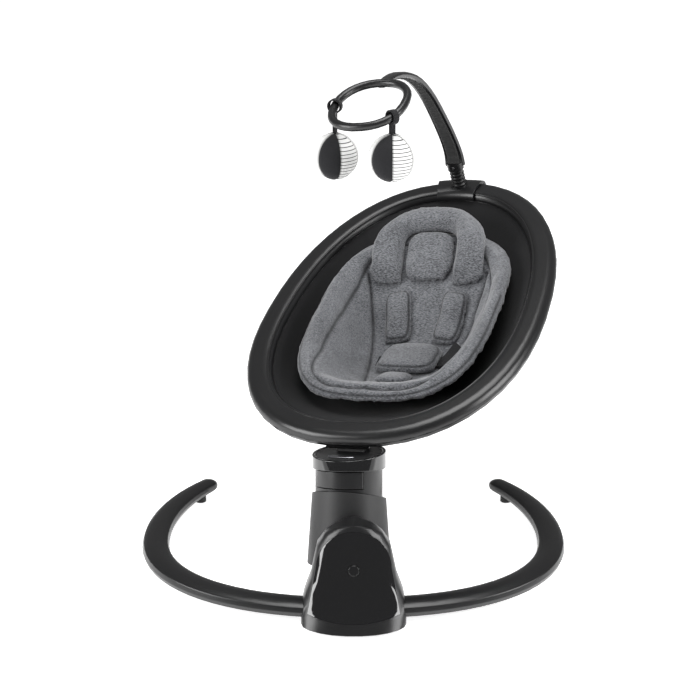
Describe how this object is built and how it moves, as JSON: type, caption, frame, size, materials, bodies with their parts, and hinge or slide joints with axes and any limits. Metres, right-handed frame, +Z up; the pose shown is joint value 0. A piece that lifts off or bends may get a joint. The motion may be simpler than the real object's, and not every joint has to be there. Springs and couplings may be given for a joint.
{
  "type": "baby swing",
  "caption": "Baby swing with a C-shaped floor base, a leaning drive tower, a tilted oval cradle seat with padded insert and harness, and a bar of hanging toys.",
  "frame": {"origin": "centre of the round pad under the drive tower, at the floor", "axes": "+Z up, -Y to the front of the base, where the power button is, +X to the right as seen from the front"},
  "size_m": [0.652, 0.7855, 0.7004],
  "materials": {
    "satin": "satin",
    "gloss": "gloss",
    "matte": "matte",
    "rubber": "matte",
    "steel": "satin",
    "nylon": "satin",
    "board": "satin",
    "badge": "polished",
    "mesh": "matte",
    "melange": "matte",
    "webbing": "matte",
    "toy": "matte"
  },
  "bodies": {
    "base": {"base_housing": "satin", "front_panel": "gloss", "base_cover": "matte", "rest_pad": "rubber", "nose_pad": "rubber", "pivot_column": "matte", "button_switch": "nylon", "circuit_board": "board", "speaker": "matte", "dc_inlet": "matte", "base_tube_left": "satin", "base_tube_right": "satin", "tip_pad_left": "rubber", "tip_pad_right": "rubber", "cover_screw_1": "steel", "cover_screw_2": "steel", "cover_screw_3": "steel", "pivot_shaft": "steel", "gear_motor": "steel", "shaft_nut": "steel"},
    "power_button": {"power_button": "gloss"},
    "drive_pinion": {"drive_pinion": "nylon"},
    "swing_arm": {"arm_shell": "matte", "arm_collar": "satin", "lever_spring": "steel", "hub_cap": "gloss", "cap_lid": "matte", "hub_badge": "badge", "hub_post": "matte", "recline_pin": "steel", "lower_bush": "nylon", "upper_bush": "nylon", "drive_gear": "nylon"},
    "release_lever": {"release_lever": "satin"},
    "seat": {"seat_bracket": "satin", "ring_lip": "satin", "ring_under": "satin", "fabric_bowl": "mesh", "insert_pad": "melange", "head_pillow": "melange", "pillow_inset": "melange", "shoulder_pad_left": "melange", "shoulder_pad_right": "melange", "waist_pad": "melange", "crotch_pad": "melange", "buckle": "matte", "waist_strap_left": "webbing", "waist_strap_right": "webbing", "bar_clip": "satin", "bar_stub": "satin"},
    "buckle_button": {"buckle_button": "gloss"},
    "toy_bar": {"toy_bar": "satin", "bar_screw": "steel", "toy_ring": "satin"},
    "toy_left": {"toy_strap_left": "webbing", "toy_ball_left": "toy"},
    "toy_right": {"toy_strap_right": "webbing", "toy_ball_right": "toy"}
  },
  "joints": [
    {"name": "sway", "type": "hinge", "parent": "base", "child": "swing_arm", "pos_m": [0, 0.13, 0.212], "axis": [0, 0.309, 0.9511], "range_deg": [0, 44.4]},
    {"name": "drive_pinion", "type": "hinge", "parent": "base", "child": "drive_pinion", "pos_m": [0, 0.10965, 0.21861], "axis": [0, 0.309, 0.9511], "range_deg": [-133.2, 0]},
    {"name": "recline", "type": "hinge", "parent": "swing_arm", "child": "seat", "pos_m": [0, 0.13, 0.212], "axis": [0.9259, -0.3593, 0.1168], "range_deg": [-8, 0]},
    {"name": "release_lever", "type": "slide", "parent": "swing_arm", "child": "release_lever", "axis": [0.3778, 0.8806, -0.2861], "range_m": [0, 0.004], "stiffness_N_per_m": 800, "springref_m": -0.002},
    {"name": "power_button", "type": "slide", "parent": "base", "child": "power_button", "axis": [0, 0.9245, -0.3811], "range_m": [0, 0.0012], "stiffness_N_per_m": 600, "springref_m": -0.001},
    {"name": "buckle_button", "type": "slide", "parent": "seat", "child": "buckle_button", "axis": [0.2242, 0.2738, -0.9353], "range_m": [0, 0.0025], "stiffness_N_per_m": 500, "springref_m": -0.001},
    {"name": "toy_bar", "type": "hinge", "parent": "seat", "child": "toy_bar", "pos_m": [0.18198, 0.66327, 0.45826], "axis": [-0.2242, -0.2738, 0.9353], "range_deg": [-60, 60]},
    {"name": "toy_left", "type": "hinge", "parent": "toy_bar", "child": "toy_left", "pos_m": [-0.02796, 0.34557, 0.66561], "axis": [0.3227, 0.9465, 0], "range_deg": [-9, 30]},
    {"name": "toy_right", "type": "hinge", "parent": "toy_bar", "child": "toy_right", "pos_m": [0.05655, 0.27522, 0.66528], "axis": [0.7765, 0.6301, 0], "range_deg": [-30, 9]}
  ],
  "couplings": [
    {"joint": "drive_pinion", "follows": "sway", "ratio": -3}
  ]
}
